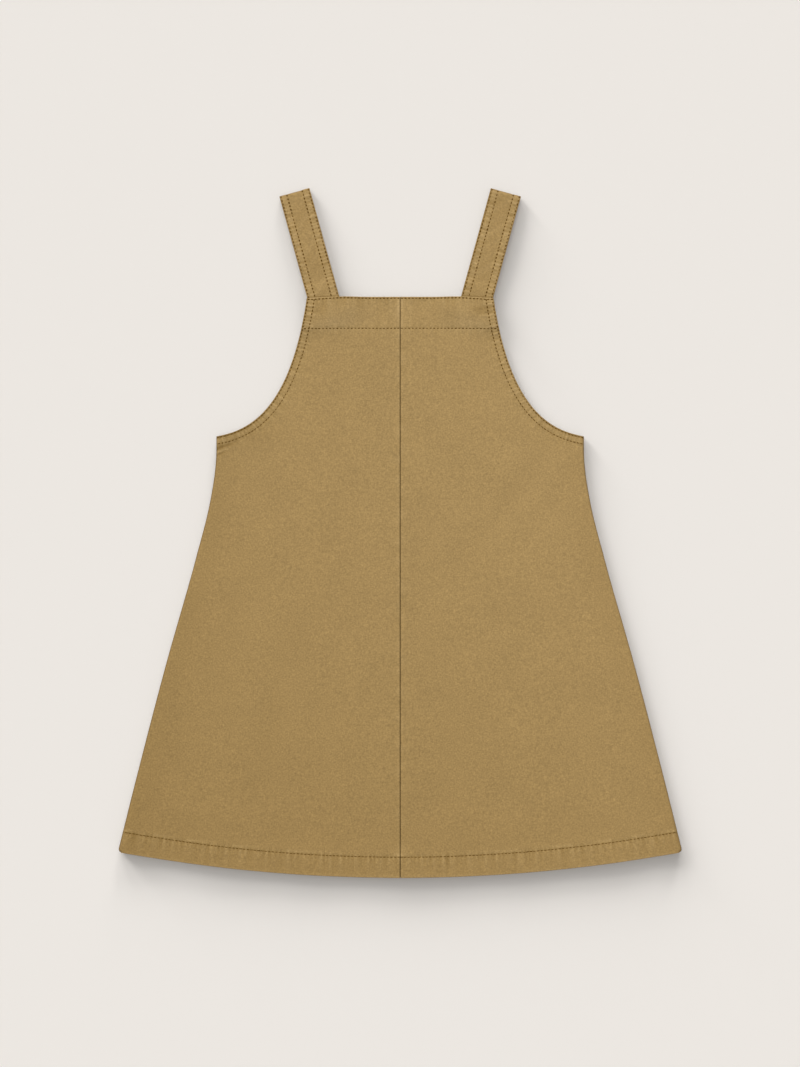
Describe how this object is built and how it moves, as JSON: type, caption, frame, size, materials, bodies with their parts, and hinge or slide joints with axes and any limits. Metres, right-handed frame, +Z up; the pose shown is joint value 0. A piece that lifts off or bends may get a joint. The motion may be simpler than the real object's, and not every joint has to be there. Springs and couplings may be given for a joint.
{
  "type": "pinafore dress",
  "caption": "Child's sleeveless A-line pinafore dress laid flat: centre-seamed face, plain back, square bib, scooped armholes, curved hem and wide straps folded at the shoulder.",
  "frame": {"origin": "middle of the whole length and width, on the surface that the dress lies on", "axes": "+Y from the hem to the shoulders, +X to the right as seen from above with the hem nearest, +Z up from the surface"},
  "size_m": [0.4564, 0.5593, 0.0077],
  "materials": {
    "gabardine": "matt dyed cotton twill"
  },
  "bodies": {
    "root": {"front_left": "gabardine", "front_right": "gabardine", "back": "gabardine", "strap_left": "gabardine", "strap_right": "gabardine"}
  },
  "joints": []
}
